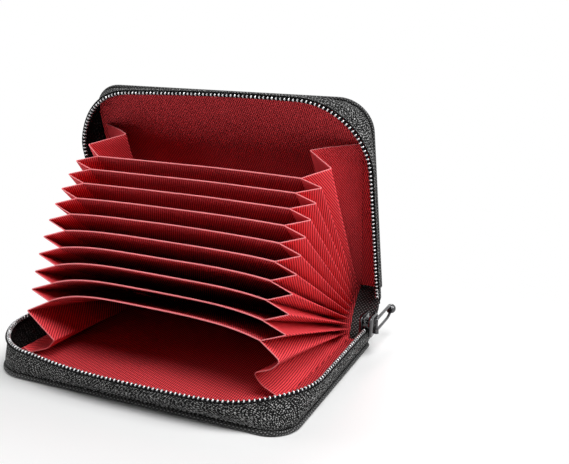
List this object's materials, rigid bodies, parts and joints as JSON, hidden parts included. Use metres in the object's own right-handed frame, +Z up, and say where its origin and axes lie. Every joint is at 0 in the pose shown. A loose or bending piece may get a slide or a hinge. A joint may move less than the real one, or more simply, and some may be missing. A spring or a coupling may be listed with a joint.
{
  "type": "zip card holder",
  "caption": "Open zip-round card holder: cloth-covered stiff covers on a soft spine, with a fan of red divider pockets, folded side gussets and a zip slider with a puller.",
  "frame": {"origin": "centre of the lower cover's outer face", "axes": "+X along the spine to the right, +Y from the zipped front edge to the spine, +Z up"},
  "size_m": [0.1185, 0.0918, 0.0912],
  "materials": {
    "cover_cloth": "coarse basket weave nylon, matte",
    "cover_board": "grey board, hidden",
    "red_lining": "fine ribbed lining cloth",
    "zip_tape": "fine matte tape cloth",
    "zip_coil": "glossy nylon coil",
    "black_metal": "gloss black"
  },
  "bodies": {
    "lower_cover": {"lower_cover_fabric": "cover_cloth", "lower_cover_board": "cover_board", "lower_cover_lining": "red_lining", "lower_zip_tape": "zip_tape", "lower_zip_coil": "zip_coil", "bottom_stop": "black_metal", "top_stop_lower": "black_metal", "spine_fabric": "cover_cloth", "spine_lining": "red_lining", "gusset_left_01": "red_lining", "gusset_right_01": "red_lining"},
    "leaf_01": {"divider_01": "red_lining", "gusset_left_02": "red_lining", "gusset_right_02": "red_lining"},
    "leaf_02": {"divider_02": "red_lining", "gusset_left_03": "red_lining", "gusset_right_03": "red_lining"},
    "leaf_03": {"divider_03": "red_lining", "gusset_left_04": "red_lining", "gusset_right_04": "red_lining"},
    "leaf_04": {"divider_04": "red_lining", "gusset_left_05": "red_lining", "gusset_right_05": "red_lining"},
    "leaf_05": {"divider_05": "red_lining", "gusset_left_06": "red_lining", "gusset_right_06": "red_lining"},
    "leaf_06": {"divider_06": "red_lining", "gusset_left_07": "red_lining", "gusset_right_07": "red_lining"},
    "leaf_07": {"divider_07": "red_lining", "gusset_left_08": "red_lining", "gusset_right_08": "red_lining"},
    "leaf_08": {"divider_08": "red_lining", "gusset_left_09": "red_lining", "gusset_right_09": "red_lining"},
    "leaf_09": {"divider_09": "red_lining", "gusset_left_10": "red_lining", "gusset_right_10": "red_lining"},
    "leaf_10": {"divider_10": "red_lining", "gusset_left_11": "red_lining", "gusset_right_11": "red_lining"},
    "upper_cover": {"upper_cover_fabric": "cover_cloth", "upper_cover_board": "cover_board", "upper_cover_lining": "red_lining", "upper_zip_tape": "zip_tape", "upper_zip_coil": "zip_coil", "top_stop_upper": "black_metal"},
    "slider": {"slider_body": "black_metal"},
    "puller": {"puller": "black_metal"}
  },
  "joints": [
    {"name": "fold_01", "type": "hinge", "parent": "lower_cover", "child": "leaf_01", "pos_m": [0, 0.0377, 0.00326], "axis": [-1, 0, 0], "range_deg": [-16.8, 6], "deforming": ["gusset_left_01", "gusset_right_01", "spine_fabric", "spine_lining"]},
    {"name": "fold_02", "type": "hinge", "parent": "leaf_01", "child": "leaf_02", "pos_m": [0, 0.0382, 0.00492], "axis": [-1, 0, 0], "range_deg": [-3.97, 1.42], "deforming": ["gusset_left_02", "gusset_right_02"]},
    {"name": "fold_03", "type": "hinge", "parent": "leaf_02", "child": "leaf_03", "pos_m": [0, 0.03881, 0.00653], "axis": [-1, 0, 0], "range_deg": [-3.97, 1.42], "deforming": ["gusset_left_03", "gusset_right_03"]},
    {"name": "fold_04", "type": "hinge", "parent": "leaf_03", "child": "leaf_04", "pos_m": [0, 0.03953, 0.0081], "axis": [-1, 0, 0], "range_deg": [-3.97, 1.42], "deforming": ["gusset_left_04", "gusset_right_04"]},
    {"name": "fold_05", "type": "hinge", "parent": "leaf_04", "child": "leaf_05", "pos_m": [0, 0.04036, 0.00962], "axis": [-1, 0, 0], "range_deg": [-3.97, 1.42], "deforming": ["gusset_left_05", "gusset_right_05"]},
    {"name": "fold_06", "type": "hinge", "parent": "leaf_05", "child": "leaf_06", "pos_m": [0, 0.04129, 0.01107], "axis": [-1, 0, 0], "range_deg": [-3.97, 1.42], "deforming": ["gusset_left_06", "gusset_right_06"]},
    {"name": "fold_07", "type": "hinge", "parent": "leaf_06", "child": "leaf_07", "pos_m": [0, 0.04232, 0.01246], "axis": [-1, 0, 0], "range_deg": [-3.97, 1.42], "deforming": ["gusset_left_07", "gusset_right_07"]},
    {"name": "fold_08", "type": "hinge", "parent": "leaf_07", "child": "leaf_08", "pos_m": [0, 0.04345, 0.01377], "axis": [-1, 0, 0], "range_deg": [-3.97, 1.42], "deforming": ["gusset_left_08", "gusset_right_08"]},
    {"name": "fold_09", "type": "hinge", "parent": "leaf_08", "child": "leaf_09", "pos_m": [0, 0.04466, 0.015], "axis": [-1, 0, 0], "range_deg": [-3.97, 1.42], "deforming": ["gusset_left_09", "gusset_right_09"]},
    {"name": "fold_10", "type": "hinge", "parent": "leaf_09", "child": "leaf_10", "pos_m": [0, 0.04595, 0.01615], "axis": [-1, 0, 0], "range_deg": [-3.97, 1.42], "deforming": ["gusset_left_10", "gusset_right_10"]},
    {"name": "fold_11", "type": "hinge", "parent": "leaf_10", "child": "upper_cover", "pos_m": [0, 0.04732, 0.0172], "axis": [-1, 0, 0], "range_deg": [-21.21, 7.58], "deforming": ["gusset_left_11", "gusset_right_11"]},
    {"name": "zip_slide", "type": "slide", "parent": "lower_cover", "child": "slider", "axis": [0, -1, 0], "range_m": [0, 0.039]},
    {"name": "puller_swing", "type": "hinge", "parent": "slider", "child": "puller", "pos_m": [0.05925, 0.0294, 0.0119], "axis": [0, 0, 1], "range_deg": [-175, 0]}
  ],
  "couplings": [
    {"joint": "fold_02", "follows": "fold_01", "ratio": 0.23571},
    {"joint": "fold_03", "follows": "fold_01", "ratio": 0.23571},
    {"joint": "fold_04", "follows": "fold_01", "ratio": 0.23571},
    {"joint": "fold_05", "follows": "fold_01", "ratio": 0.23571},
    {"joint": "fold_06", "follows": "fold_01", "ratio": 0.23571},
    {"joint": "fold_07", "follows": "fold_01", "ratio": 0.23571},
    {"joint": "fold_08", "follows": "fold_01", "ratio": 0.23571},
    {"joint": "fold_09", "follows": "fold_01", "ratio": 0.23571},
    {"joint": "fold_10", "follows": "fold_01", "ratio": 0.23571},
    {"joint": "fold_11", "follows": "fold_01", "ratio": 1.2619}
  ]
}
